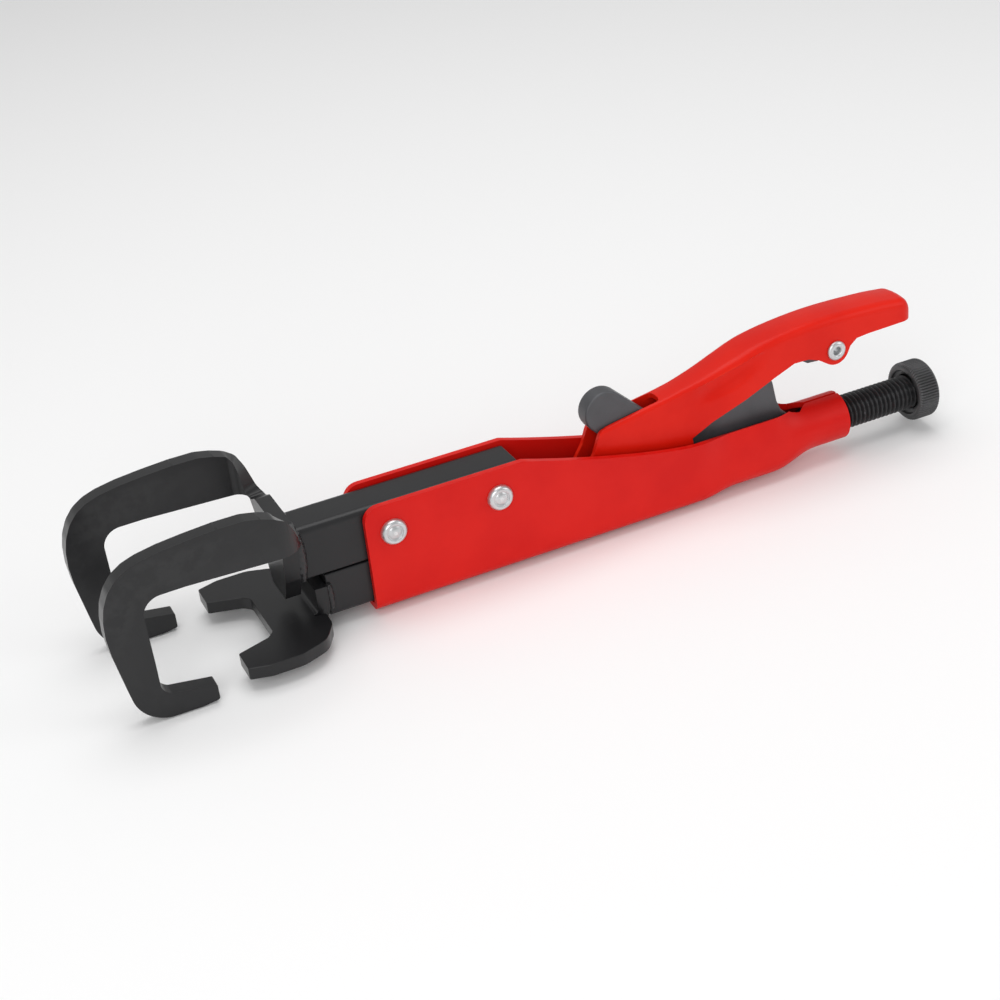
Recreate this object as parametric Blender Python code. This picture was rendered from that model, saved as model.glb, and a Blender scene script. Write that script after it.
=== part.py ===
"""Linear locking grip clamp with a double hook jaw, a sliding fork jaw and an adjusting screw.

X runs rearward along the adjusting screw's axis, Y across the clamp and Z up, towards the handle.
Sizes are drawn in millimetres about a drawing origin on the screw's axis, level with the front end
of the sheet steel body. The finished clamp stands on the middle of its bounding box's lowest face.
"""

import math

import bmesh
import bpy
from mathutils import Vector

MM = 0.001
GAP = 0.3  # clearance between pieces that touch on the real clamp

# Sheet steel body, all in millimetres as is everything below
BODY_HALF = 9.5
BODY_SHEET = 2.0
BODY_FLOOR = -11.6
BODY_TOP = 25.2
BODY_BEND_R = 3.6
BODY_STRAIGHT_END = 54.0
TUBE_R = 8.4
TUBE_START = 164.0
TUBE_END = 176.0
SEAM_HALF_ANGLE = 3.0

# Bars inside the body
BAR_HALF = 7.2
BAR_FRONT = -22.1
BAR_REAR = 53.5
BAR_TOP = 24.45
BAR_BOTTOM = 6.8
SLIDE_FRONT = -14.5
SLIDE_TOP = 6.3
SLIDE_BOTTOM = -8.9
SLIDE_REAR = 87.5
TONGUE_HALF = 3.1
TONGUE_FRONT = 69.0

# Hook bracket: a plate bent to a U in plan
ARM_OUTER = 24.95
ARM_SHEET = 5.0
WEB_FRONT = -27.4
WEB_REAR = -22.4
WEB_BOTTOM = 1.5
HOOK_INNER_TOP = 28.4

# Fork jaw
FORK_TOP = -4.8
FORK_BOTTOM = -8.9
PRONG_TIP = -47.2
FORK_WALL_TOP = 3.5
FORK_WALL_HALF = 9.2
FORK_REAR = SLIDE_FRONT - GAP

# Handle and linkage
HANDLE_HALF = 7.2
HANDLE_FRONT_HALF = 5.0
HANDLE_TAPER = (114.0, 136.0)
HANDLE_SHEET = 1.6
WEB_START = 106.5
PIVOT_A = (80.0, 0.0)
PIVOT_B = (112.0, 0.5)
PIVOT_R = (171.2, 28.5)
PIN_R = 3.0
PIN_HALF = 6.2
RIVET_R = 2.2
LINK_HALF = 3.0
LINK_HEAD = (87.0, 29.3)
LINK_HEAD_R = 7.2
LINK_NOSE = (152.6, 3.0)
LINK_NOSE_R = 5.0

# Rivets through body and fixed bar
BODY_RIVETS_X = (8.8, 44.9)
BODY_RIVETS_Z = 15.4
BODY_RIVET_R = 2.6
BODY_RIVET_HEAD_R = 4.3

# Adjusting screw, M12 by 1.75
SCREW_R = 5.95
SCREW_TIP = 158.0
SCREW_END = 209.0
KNOB_FRONT = 203.7
KNOB_REAR = 212.0
KNOB_R = 10.35

# Ends of the whole clamp in the drawing, and the world's origin between them
HOOK_FRONT = -85.2
HOOK_LOWEST = -12.9
BASE = Vector(((HOOK_FRONT + KNOB_REAR) / 2, 0.0, HOOK_LOWEST))

# Return spring in the channel's floor
SPRING_Z = -7.3
SPRING_R = 1.45
SPRING_WIRE = 0.35
SPRING_FRONT = 89.0
SPRING_REAR = 118.0
SPRING_TURNS = 10


def clear_scene():
    for obj in list(bpy.data.objects):
        bpy.data.objects.remove(obj, do_unlink=True)


def material(name, colour, roughness, metallic):
    mat = bpy.data.materials.new(name)
    mat.use_nodes = True
    shader = mat.node_tree.nodes["Principled BSDF"]
    shader.inputs["Base Color"].default_value = (*colour, 1.0)
    shader.inputs["Roughness"].default_value = roughness
    shader.inputs["Metallic"].default_value = metallic
    return mat


def red_paint(name):
    return material(name, (0.55, 0.02, 0.015), 0.4, 0.0)


def black_steel(name):
    return material(name, (0.03, 0.03, 0.032), 0.5, 0.6)


def grey_steel(name):
    return material(name, (0.1, 0.1, 0.105), 0.45, 0.7)


def bright_zinc(name):
    return material(name, (0.75, 0.75, 0.76), 0.35, 0.9)


def arc(centre, radius, start_deg, end_deg, steps):
    """Points on a circle, from one angle to another."""
    points = []
    for i in range(steps + 1):
        angle = math.radians(start_deg + (end_deg - start_deg) * i / steps)
        points.append((centre[0] + radius * math.cos(angle), centre[1] + radius * math.sin(angle)))
    return points


def finish(name, bm, mat, origin=(0.0, 0.0, 0.0), smooth=True):
    """Turns a bmesh in drawing millimetres into an object, whose own origin is at the given place."""
    bmesh.ops.recalc_face_normals(bm, faces=bm.faces)
    offset = Vector(origin)
    for vert in bm.verts:
        vert.co = (vert.co - offset) * MM
    mesh = bpy.data.meshes.new(name)
    bm.to_mesh(mesh)
    bm.free()
    obj = bpy.data.objects.new(name, mesh)
    bpy.context.scene.collection.objects.link(obj)
    obj.location = (offset - BASE) * MM
    if mat:
        mesh.materials.append(mat)
    if smooth:
        mesh.shade_smooth()
        mesh.set_sharp_from_angle(angle=math.radians(35))
    return obj


def prism_bm(outline, low, high, axis):
    """Extrudes a closed outline. The axis Y takes (x, z) points, Z takes (x, y) and X takes (y, z)."""
    place = {
        "Y": lambda a, b, c: (a, c, b),
        "Z": lambda a, b, c: (a, b, c),
        "X": lambda a, b, c: (c, a, b),
    }[axis]
    bm = bmesh.new()
    floor = [bm.verts.new(place(a, b, low)) for a, b in outline]
    roof = [bm.verts.new(place(a, b, high)) for a, b in outline]
    bm.faces.new(floor)
    bm.faces.new(list(reversed(roof)))
    count = len(outline)
    for i in range(count):
        j = (i + 1) % count
        bm.faces.new((floor[i], roof[i], roof[j], floor[j]))
    return bm


def prism(name, outline, low, high, axis, mat, origin=(0.0, 0.0, 0.0)):
    return finish(name, prism_bm(outline, low, high, axis), mat, origin)


def turned_bm(profile, steps, axis, centre):
    """Revolves (distance along, radius) points about an axis through the centre. Ends at radius 0 close."""
    turn = {
        "X": lambda along, r, a: (along, centre[1] + r * math.cos(a), centre[2] + r * math.sin(a)),
        "Y": lambda along, r, a: (centre[0] + r * math.cos(a), along, centre[2] + r * math.sin(a)),
    }[axis]
    bm = bmesh.new()
    rings = []
    for along, radius in profile:
        if radius == 0.0:
            rings.append([bm.verts.new(turn(along, 0.0, 0.0))])
        else:
            rings.append([bm.verts.new(turn(along, radius, math.tau * i / steps)) for i in range(steps)])
    for first, second in zip(rings, rings[1:]):
        for i in range(steps):
            j = (i + 1) % steps
            corners = [first[i % len(first)], first[j % len(first)]]
            corners += [second[j % len(second)], second[i % len(second)]]
            unique = list(dict.fromkeys(corners))
            bm.faces.new(unique)
    if len(rings[0]) > 1 and len(rings[-1]) > 1:
        for i in range(steps):
            j = (i + 1) % steps
            bm.faces.new((rings[-1][i], rings[-1][j], rings[0][j], rings[0][i]))
    return bm


def turned(name, profile, steps, axis, centre, mat, origin=(0.0, 0.0, 0.0)):
    return finish(name, turned_bm(profile, steps, axis, centre), mat, origin)


def cutter(name, bm):
    obj = finish(name, bm, None, smooth=False)
    obj.hide_render = True
    obj.display_type = "WIRE"
    return obj


def boolean(obj, other, operation="DIFFERENCE"):
    modifier = obj.modifiers.new(other.name, "BOOLEAN")
    modifier.operation = operation
    modifier.solver = "EXACT"
    modifier.object = other


def cross_hole(obj, centre, radius, half_length, steps=20):
    """Drills along Y through a point (x, z)."""
    profile = [(-half_length, 0.0), (-half_length, radius), (half_length, radius), (half_length, 0.0)]
    bm = turned_bm(profile, steps, "Y", (centre[0], 0.0, centre[1]))
    boolean(obj, cutter(f"{obj.name}_hole_{centre[0]:.0f}", bm))


# --- Root: body, fixed bar, hooks ---


def smoothstep(low, high, x):
    t = min(max((x - low) / (high - low), 0.0), 1.0)
    return t * t * (3.0 - 2.0 * t)


def body_top_at(x):
    """Height of the body wall's upper edge: level, then sloping down, then level again."""
    corner = 5.0
    if x < corner:
        return BODY_TOP - corner + math.sqrt(corner**2 - (corner - x) ** 2)
    drop_to = 10.8
    return BODY_TOP - (BODY_TOP - drop_to) * smooth_slope((x - BODY_STRAIGHT_END) / 62.0)


def smooth_slope(t):
    """Rises steeply at first and eases out, from 0 to 1."""
    t = min(max(t, 0.0), 1.0)
    return 1.0 - (1.0 - t) ** 1.35


def u_section(half, floor, top, bend, steps):
    """Half of a U from the middle of its floor, round the bend and up to the wall's edge."""
    points = [(0.0, floor), (half - bend, floor)]
    points += arc((half - bend, floor + bend), bend, -90, 0, steps)[1:]
    for share in (0.35, 0.7, 1.0):
        points.append((half, floor + bend + (top - floor - bend) * share))
    return points


def tube_section(radius, count):
    """Half of a nearly closed tube, from its lowest point to the seam at its top."""
    end = 90.0 - SEAM_HALF_ANGLE
    return [
        (radius * math.cos(math.radians(a)), radius * math.sin(math.radians(a)))
        for a in [-90.0 + (end + 90.0) * i / (count - 1) for i in range(count)]
    ]


def body_station(x, inset):
    """Half section of the body at x. The inset is 0 on the outer skin and the sheet's thickness inside."""
    bend_steps = 4
    half = BODY_HALF - inset
    u = u_section(half, BODY_FLOOR + inset, body_top_at(x), BODY_BEND_R - inset * 0.8, bend_steps)
    tube = tube_section(TUBE_R - inset, len(u))
    share = 0.3 * smoothstep(117.5, 131.0, x) + 0.7 * smoothstep(146.0, TUBE_START, x)
    return [(a[0] + (b[0] - a[0]) * share, a[1] + (b[1] - a[1]) * share) for a, b in zip(u, tube)]


def make_body():
    """U channel of bent sheet, formed at the rear into the tube that carries the adjusting screw."""
    stations = [0.0, 0.4, 1.5, 3.0, 5.0, 30.0, 54.0, 60.0, 68.0, 78.0, 90.0, 104.0]
    stations += [114.0, 119.0, 124.0, 130.0, 140.0, 147.0, 151.0, 155.0, 158.5, 162.0, TUBE_START, TUBE_END]
    bm = bmesh.new()
    loops = []
    for x in stations:
        outer = body_station(x, 0.0)
        inner = body_station(x, BODY_SHEET)
        ring = outer[:0:-1] + [(-y, z) for y, z in outer]
        ring += [(-y, z) for y, z in inner[::-1]] + inner[1:]
        loops.append([bm.verts.new((x, y, z)) for y, z in ring])
    for first, second in zip(loops, loops[1:]):
        for i in range(len(first)):
            j = (i + 1) % len(first)
            bm.faces.new((first[i], first[j], second[j], second[i]))
    for loop in (loops[0], loops[-1]):
        count = len(loop) // 2
        for i in range(count - 1):
            bm.faces.new((loop[i], loop[i + 1], loop[-2 - i], loop[-1 - i]))
    body = finish("body_channel", bm, red_paint("body_red"))
    for x in BODY_RIVETS_X:
        cross_hole(body, (x, BODY_RIVETS_Z), BODY_RIVET_R + GAP, 14.0)
    cross_hole(body, (SPRING_REAR + 4.0, SPRING_Z), 1.6 + GAP, 14.0, 12)
    notch = [(140.0, -3.8), (158.8, -3.8), (163.5, 0.0), (158.8, 3.8), (140.0, 3.8)]
    boolean(body, cutter("body_notch", prism_bm(notch, 2.0, 20.0, "Z")))
    return body


def make_fixed_bar():
    chamfer = 1.0
    outline = [
        (BAR_HALF, BAR_BOTTOM),
        (BAR_HALF, BAR_TOP - chamfer),
        (BAR_HALF - chamfer, BAR_TOP),
        (-BAR_HALF + chamfer, BAR_TOP),
        (-BAR_HALF, BAR_TOP - chamfer),
        (-BAR_HALF, BAR_BOTTOM),
    ]
    bar = prism("fixed_bar", outline, BAR_FRONT, BAR_REAR, "X", black_steel("fixed_bar_black"))
    for x in BODY_RIVETS_X:
        cross_hole(bar, (x, BODY_RIVETS_Z), BODY_RIVET_R + GAP, 14.0)
    return bar


def hook_outline():
    """Side view of one hook arm with the bent web at its rear, as one closed outline."""
    outer = [(WEB_REAR, 29.0), (-24.2, 29.6), (-25.6, 34.0), (-27.0, 37.4), (-29.0, 39.4), (-31.4, 41.0)]
    outer += [(-35.0, 42.4), (-40.0, 43.2), (-48.0, 43.2), (-57.0, 42.6), (-65.0, 41.8), (-71.5, 40.6)]
    outer += [(-75.6, 39.2), (-79.2, 36.9), (-82.0, 33.5), (-83.9, 29.4), (-84.9, 24.8), (HOOK_FRONT, 19.6)]
    outer += [(-84.6, 13.0), (-83.6, 7.0), (-82.4, 0.5)]
    outer += arc((-70.2, -1.0), 11.9, 190, 264, 6)
    outer += [(-66.6, HOOK_LOWEST), (-61.9, HOOK_LOWEST), (-56.9, -12.2)]
    inner = [(-56.9, -7.0), (-67.0, -5.2)]
    inner += arc((-68.6, -0.6), 4.6, 250, 190, 4)
    inner += [(-73.1, 6.0), (-73.4, 18.0)]
    inner += arc((-67.4, 22.3), 6.0, 170, 95, 5)
    inner += [(-60.0, HOOK_INNER_TOP), (-33.0, HOOK_INNER_TOP - 1.4), (-31.0, 24.6), (-31.0, WEB_BOTTOM)]
    return outer + inner + [(WEB_REAR, WEB_BOTTOM)]


def bracket_plan(mat):
    """Plan view of the bracket: two arms and the web between them, with round bends."""
    inner = ARM_OUTER - ARM_SHEET
    bend = 9.0
    inner_bend = bend - ARM_SHEET
    outer_arc = arc((WEB_REAR - bend, ARM_OUTER - bend), bend, 90, 0, 6)
    inner_arc = arc((WEB_FRONT - inner_bend, inner - inner_bend), inner_bend, 0, 90, 5)
    half = [(-100.0, ARM_OUTER)] + outer_arc
    half_inner = inner_arc + [(-100.0, inner)]
    plan = half + [(x, -y) for x, y in reversed(half)]
    plan += [(x, -y) for x, y in reversed(half_inner)] + half_inner
    return prism("hook_bracket", plan, -16.0, 50.0, "Z", mat)


def make_hook_bracket():
    """Double hook: a plate bent to a U in plan, cut to the shape of the hooks seen from the side."""
    bracket = bracket_plan(black_steel("hook_bracket_black"))
    boolean(bracket, cutter("hook_side_shape", prism_bm(hook_outline(), -30.0, 30.0, "Y")), "INTERSECT")
    for side in (-1, 1):
        corner = [(9.4, 9.0), (5.8, -6.0), (30.0, -6.0), (30.0, 27.4), (17.0, 27.4), (12.0, 22.5)]
        points = [(side * y, z) for y, z in corner]
        boolean(bracket, cutter(f"web_corner_{side}", prism_bm(points, -36.0, -18.0, "X")))
    return bracket


def make_bracket_welds():
    """Fillet welds in the two corners between the fixed bar's sides and the bracket's web."""
    for side, name in ((-1, "bracket_weld_near"), (1, "bracket_weld_far")):
        wall = side * (BAR_HALF + GAP)
        plan = [(BAR_FRONT, wall), (BAR_FRONT + 3.6, wall), (BAR_FRONT + 1.4, wall + side * 1.4)]
        plan.append((BAR_FRONT, wall + side * 3.4))
        prism(name, plan, BAR_BOTTOM + 2.0, BAR_TOP - 2.0, "Z", black_steel(name + "_steel"))


def rivet_profile(half, shank, head, height):
    """Shank with a domed head at each end. Half is the distance to the underside of a head."""
    dome = [(0.45, 0.93), (0.8, 0.7), (1.0, 0.3)]
    ends = [(half, shank), (half, head), (half + height * 0.2, head)]
    ends += [(half + height * up, head * out) for up, out in dome]
    ends.append((half + height, 0.0))
    return [(-along, radius) for along, radius in reversed(ends)] + ends


def make_body_rivets():
    for x, name in zip(BODY_RIVETS_X, ("front_rivet", "rear_rivet")):
        profile = rivet_profile(BODY_HALF + GAP, BODY_RIVET_R, BODY_RIVET_HEAD_R, 1.6)
        centre = (x, 0.0, BODY_RIVETS_Z)
        turned(name, profile, 20, "Y", centre, bright_zinc(name + "_zinc"), centre)


def make_spring_post():
    """Cross pin through the body's walls that holds the rear end of the return spring."""
    centre = (SPRING_REAR + 4.0, 0.0, SPRING_Z)
    half = 8.5
    profile = [(-half, 0.0), (-half, 1.6), (half, 1.6), (half, 0.0)]
    turned("spring_post", profile, 12, "Y", centre, grey_steel("spring_post_steel"), centre)


# --- Slider ---


def make_slide_bar():
    """Bar that slides under the fixed bar. Its rear end is a narrow tongue between the handle's walls."""
    chamfer = 1.8
    outline = [
        (-BAR_HALF, SLIDE_TOP),
        (-BAR_HALF, SLIDE_BOTTOM + chamfer),
        (-BAR_HALF + chamfer, SLIDE_BOTTOM),
        (BAR_HALF - chamfer, SLIDE_BOTTOM),
        (BAR_HALF, SLIDE_BOTTOM + chamfer),
        (BAR_HALF, SLIDE_TOP),
    ]
    bar = prism("slide_bar", outline, SLIDE_FRONT, SLIDE_REAR, "X", black_steel("slide_bar_black"))
    for side in (-1, 1):
        plan = [(TONGUE_FRONT, side * TONGUE_HALF), (95.0, side * TONGUE_HALF)]
        plan += [(95.0, side * 12.0), (TONGUE_FRONT, side * 12.0)]
        boolean(bar, cutter(f"tongue_side_{side}", prism_bm(plan, -20.0, 20.0, "Z")))
    cross_hole(bar, PIVOT_A, PIN_R + GAP, 14.0)
    return bar


def fork_half():
    """Half of the fork's plan, from the middle of the throat round one prong to the upturned wall."""
    points = [(-34.4, 0.0), (-34.4, 9.8), (-34.9, 11.6), (-36.4, 12.9)]
    points += [(PRONG_TIP, 16.4), (PRONG_TIP, 25.6), (-40.5, 27.4)]
    points += arc((-32.5, 12.0), 15.6, 90, 0, 8)
    points += [(-16.9, 10.2), (-20.6, 10.2), (-20.6, 8.4)]
    return points


def fork_wall_outline():
    """Side view of the bend and the wall at the fork's rear, with the flat that joins them to the prongs."""
    sheet = FORK_TOP - FORK_BOTTOM
    inner = 1.4
    centre = (FORK_REAR - sheet - inner, FORK_TOP + inner)
    outline = [(FORK_REAR, FORK_WALL_TOP), (FORK_REAR - sheet, FORK_WALL_TOP)]
    outline += arc(centre, inner, 0, -90, 3)
    outline += [(-27.0, FORK_TOP), (-27.0, FORK_BOTTOM)]
    outline += arc(centre, sheet + inner, -90, 0, 5)
    return outline


def make_fork():
    """Plate with two prongs, bent up at the rear into a wall that is welded to the slide bar's end."""
    half = fork_half()
    plan = half[1:] + [(x, -y) for x, y in reversed(half[1:])]
    fork = prism("fork_jaw", plan, FORK_BOTTOM, FORK_TOP, "Z", black_steel("fork_black"))
    wall = prism_bm(fork_wall_outline(), -FORK_WALL_HALF, FORK_WALL_HALF, "Y")
    boolean(fork, cutter("fork_wall", wall), "UNION")


def make_fork_welds():
    """Fillet welds between the rear of the fork's wall and the sides of the slide bar."""
    wall = BAR_HALF + GAP
    reach = FORK_WALL_HALF - wall
    for side, name in ((-1, "fork_weld_near"), (1, "fork_weld_far")):
        plan = [(SLIDE_FRONT, side * wall), (SLIDE_FRONT + 2.6, side * wall), (SLIDE_FRONT, side * (wall + reach))]
        prism(name, plan, -4.5, 3.0, "Z", black_steel(name + "_steel"))


def pin(name, centre, half, radius, mat):
    chamfer = 0.4
    profile = [(-half, 0.0), (-half, radius - chamfer), (-half + chamfer, radius)]
    profile += [(half - chamfer, radius), (half, radius - chamfer), (half, 0.0)]
    place = (centre[0], 0.0, centre[1])
    return turned(name, profile, 20, "Y", place, mat, place)


# --- Handle and linkage ---


def handle_top():
    """The handle's upper edge seen from the side, front to rear."""
    return [
        (82.5, 21.6),
        (83.4, 23.4),
        (85.6, 24.6),
        (100.0, 27.1),
        (109.0, 28.6),
        (117.0, 30.4),
        (124.0, 32.4),
        (132.0, 35.1),
        (142.0, 38.2),
        (156.0, 40.2),
        (170.0, 40.9),
        (188.0, 40.3),
        (196.5, 39.5),
        (200.2, 38.6),
        (201.8, 36.4),
    ]


def handle_bottom():
    """The handle's lower edge seen from the side, rear to front, with its ears round the pivots."""
    points = [(201.8, 33.4), (200.4, 31.4), (184.0, 31.0), (179.5, 30.6), (177.0, 28.6)]
    points += arc(PIVOT_R, 5.2, -25, -125, 6)
    points += [(164.5, 26.7), (160.5, 28.2), (155.0, 28.3), (147.0, 25.2), (123.8, 15.6), (116.6, 11.6)]
    points += arc(PIVOT_B, 7.0, 40, -88, 8)
    points += arc(PIVOT_A, 7.3, -90, -200, 8)
    points += [(76.0, 9.5), (80.8, 17.0)]
    return points


def make_handle():
    """U channel lever, open below, whose front stands on two ears between the body's walls."""
    outline = handle_top() + handle_bottom()
    shell = prism_bm(outline, -HANDLE_HALF, HANDLE_HALF, "Y")
    edges = [e for e in shell.edges if e.verts[0].co.y == e.verts[1].co.y and all(map(is_on_top, e.verts))]
    bmesh.ops.bevel(shell, geom=edges, offset=2.2, segments=3, profile=0.5, affect="EDGES")
    narrow_front(shell, HANDLE_HALF, HANDLE_FRONT_HALF)
    handle = finish("handle_lever", shell, red_paint("handle_red"), (PIVOT_A[0], 0.0, PIVOT_A[1]))
    inner_top = [(x, z - HANDLE_SHEET) for x, z in handle_top()[1:-2] if x > WEB_START]
    inside = [(WEB_START, 45.0), (WEB_START, inner_height(WEB_START))] + inner_top
    inside += [(200.2, 36.4), (200.2, -20.0), (60.0, -20.0), (60.0, 45.0)]
    half = HANDLE_HALF - HANDLE_SHEET
    hollow = prism_bm(inside, -half, half, "Y")
    narrow_front(hollow, half, HANDLE_FRONT_HALF - HANDLE_SHEET)
    boolean(handle, cutter("handle_inside", hollow))
    cross_hole(handle, PIVOT_A, PIN_R + GAP, 14.0)
    cross_hole(handle, PIVOT_B, PIN_R + GAP, 14.0)
    cross_hole(handle, PIVOT_R, RIVET_R + GAP, 14.0)
    return handle


def narrow_front(bm, half, front_half):
    """Tapers a form in plan, so that it is narrow in front of the taper and full behind it."""
    start, end = HANDLE_TAPER
    for x in HANDLE_TAPER:
        geometry = bm.verts[:] + bm.edges[:] + bm.faces[:]
        bmesh.ops.bisect_plane(bm, geom=geometry, plane_co=(x, 0, 0), plane_no=(1, 0, 0), dist=0.001)
    for vert in bm.verts:
        share = min(max((vert.co.x - start) / (end - start), 0.0), 1.0)
        vert.co.y *= (front_half + (half - front_half) * share) / half


def is_on_top(vert):
    return any(abs(vert.co.x - x) < 1e-4 and abs(vert.co.z - z) < 1e-4 for x, z in handle_top())


def inner_height(x):
    """Height of the underside of the handle's web at x."""
    top = handle_top()
    for (x0, z0), (x1, z1) in zip(top, top[1:]):
        if x0 <= x <= x1:
            return z0 + (z1 - z0) * (x - x0) / (x1 - x0) - HANDLE_SHEET
    return top[-1][1] - HANDLE_SHEET


def make_link():
    """Plate link: a nose on the screw's tip, an eye on pivot B and an arm with a round head in front."""
    outline = arc(LINK_HEAD, LINK_HEAD_R, 47, 222, 12)
    outline += [(96.0, 10.0)]
    outline += arc(PIVOT_B, 5.6, 200, 290, 6)
    outline += [(125.0, -3.6), (140.0, -3.0)]
    outline += arc(LINK_NOSE, LINK_NOSE_R, -100, 52, 8)
    outline += [(152.2, 10.2), (150.6, 14.0), (149.3, 21.0), (147.6, 26.2), (145.6, 27.0)]
    outline += [(128.0, 21.0), (113.0, 14.4)]
    link = prism("toggle_link", outline, -LINK_HALF, LINK_HALF, "Y", grey_steel("link_grey"),
                 (PIVOT_B[0], 0.0, PIVOT_B[1]))
    cross_hole(link, PIVOT_B, PIN_R + GAP, 14.0)
    return link


def make_release_rivet():
    """Tubular rivet that the release lever turns on, with a socket in each head."""
    half = HANDLE_HALF + GAP
    head = 3.4
    socket = 1.3
    end = [(half, RIVET_R), (half, head), (half + 0.5, head), (half + 1.1, head * 0.75)]
    end += [(half + 1.2, socket), (half - 0.6, socket * 0.8), (half - 0.6, 0.0)]
    profile = [(-along, radius) for along, radius in reversed(end)] + end
    place = (PIVOT_R[0], 0.0, PIVOT_R[1])
    turned("release_rivet", profile, 20, "Y", place, bright_zinc("release_rivet_zinc"), place)


def make_release_lever():
    """Lever inside the rear of the handle. Its nose presses on the top of the link to break the lock."""
    outline = [(145.2, 30.2), (146.8, 29.4), (156.0, 29.6), (160.0, 26.2), (163.4, 23.9), (167.4, 23.6)]
    outline += arc(PIVOT_R, 4.6, 250, 330, 5)
    outline += [(178.0, 30.8), (186.0, 31.8), (196.6, 32.0), (197.6, 33.2), (196.8, 34.4)]
    outline += [(186.0, 34.6), (176.0, 34.0), (166.0, 33.6), (150.0, 33.0), (146.0, 32.2)]
    lever = prism("release_lever", outline, -2.2, 2.2, "Y", grey_steel("release_grey"),
                  (PIVOT_R[0], 0.0, PIVOT_R[1]))
    cross_hole(lever, PIVOT_R, RIVET_R + GAP, 14.0)
    return lever


def wire(name, points, radius, mat, origin):
    """Round wire through a list of points in millimetres, as a curve with closed ends."""
    curve = bpy.data.curves.new(name, "CURVE")
    curve.dimensions = "3D"
    curve.bevel_depth = radius * MM
    curve.bevel_resolution = 2
    curve.use_fill_caps = True
    spline = curve.splines.new("POLY")
    spline.points.add(len(points) - 1)
    for target, point in zip(spline.points, points):
        place = (Vector(point) - Vector(origin)) * MM
        target.co = (*place, 1.0)
    curve.materials.append(mat)
    obj = bpy.data.objects.new(name, curve)
    obj.location = (Vector(origin) - BASE) * MM
    bpy.context.scene.collection.objects.link(obj)
    return obj


def make_release_spring():
    """Torsion spring round the release rivet, from the handle's web to the lever."""
    radius = 3.3
    turns = 2.0
    steps = 24
    points = [(182.0, 4.2, 36.8), (177.5, 3.9, 33.6)]
    for i in range(steps + 1):
        angle = math.radians(35) + math.tau * turns * i / steps
        y = 3.2 + 1.6 * i / steps
        points.append((PIVOT_R[0] + radius * math.cos(angle), y, PIVOT_R[1] + radius * math.sin(angle)))
    points += [(168.5, 4.8, 35.2), (163.5, 4.4, 37.6)]
    origin = (PIVOT_R[0], 0.0, PIVOT_R[1])
    wire("release_spring", points, 0.4, grey_steel("release_spring_steel"), origin)


def make_return_spring():
    """Tension spring on the body's floor that draws the slide bar back."""
    points = [(SPRING_FRONT - 0.9, 0.0, SPRING_Z)]
    steps = SPRING_TURNS * 10
    for i in range(steps + 1):
        angle = math.tau * SPRING_TURNS * i / steps
        x = SPRING_FRONT + (SPRING_REAR - SPRING_FRONT) * i / steps
        points.append((x, SPRING_R * math.cos(angle), SPRING_Z + SPRING_R * math.sin(angle)))
    points.append((SPRING_REAR + 1.9, 0.0, SPRING_Z))
    wire("return_spring", points, SPRING_WIRE, grey_steel("return_spring_steel"), (0.0, 0.0, 0.0))


# --- Adjusting screw ---


def make_screw():
    dome = [(SCREW_TIP, 0.0), (SCREW_TIP + 0.5, 2.2), (SCREW_TIP + 1.6, 3.8), (SCREW_TIP + 3.2, 4.8)]
    profile = dome + [(SCREW_TIP + 4.6, SCREW_R), (SCREW_END, SCREW_R), (SCREW_END, 0.0)]
    turned("adjusting_screw", profile, 32, "X", (0, 0, 0), black_steel("screw_black"))


def make_knob():
    """Round knurled knob with a recess round the screw in its front face."""
    bore = SCREW_R + GAP
    floor = SCREW_END + GAP
    profile = [
        (floor, 0.0),
        (floor, bore),
        (KNOB_FRONT + 1.2, bore),
        (KNOB_FRONT + 1.2, bore + 1.3),
        (KNOB_FRONT, bore + 1.5),
        (KNOB_FRONT, KNOB_R - 0.9),
        (KNOB_FRONT + 0.9, KNOB_R),
        (KNOB_REAR - 0.9, KNOB_R),
        (KNOB_REAR, KNOB_R - 0.9),
        (KNOB_REAR, 0.0),
    ]
    turned("screw_knob", profile, 48, "X", (0, 0, 0), black_steel("knob_black"), (KNOB_FRONT, 0.0, 0.0))


def main():
    clear_scene()
    make_body()
    make_fixed_bar()
    make_hook_bracket()
    make_bracket_welds()
    make_body_rivets()
    make_spring_post()
    make_slide_bar()
    make_fork()
    make_fork_welds()
    pin("handle_pivot_pin", PIVOT_A, PIN_HALF, PIN_R, grey_steel("handle_pin_steel"))
    make_handle()
    pin("link_pivot_pin", PIVOT_B, PIN_HALF, PIN_R, grey_steel("link_pin_steel"))
    make_link()
    make_release_rivet()
    make_release_lever()
    make_release_spring()
    make_return_spring()
    make_screw()
    make_knob()


main()
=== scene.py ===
"""Looks of a locking grip clamp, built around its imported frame.

Shapes are drawn in millimetres: X rearward along the adjusting screw's axis, Y across the clamp and Z up,
from a point on that axis level with the body's front end. piece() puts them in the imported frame.
"""

import math

import bmesh
import bpy
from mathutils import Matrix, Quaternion, Vector


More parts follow.
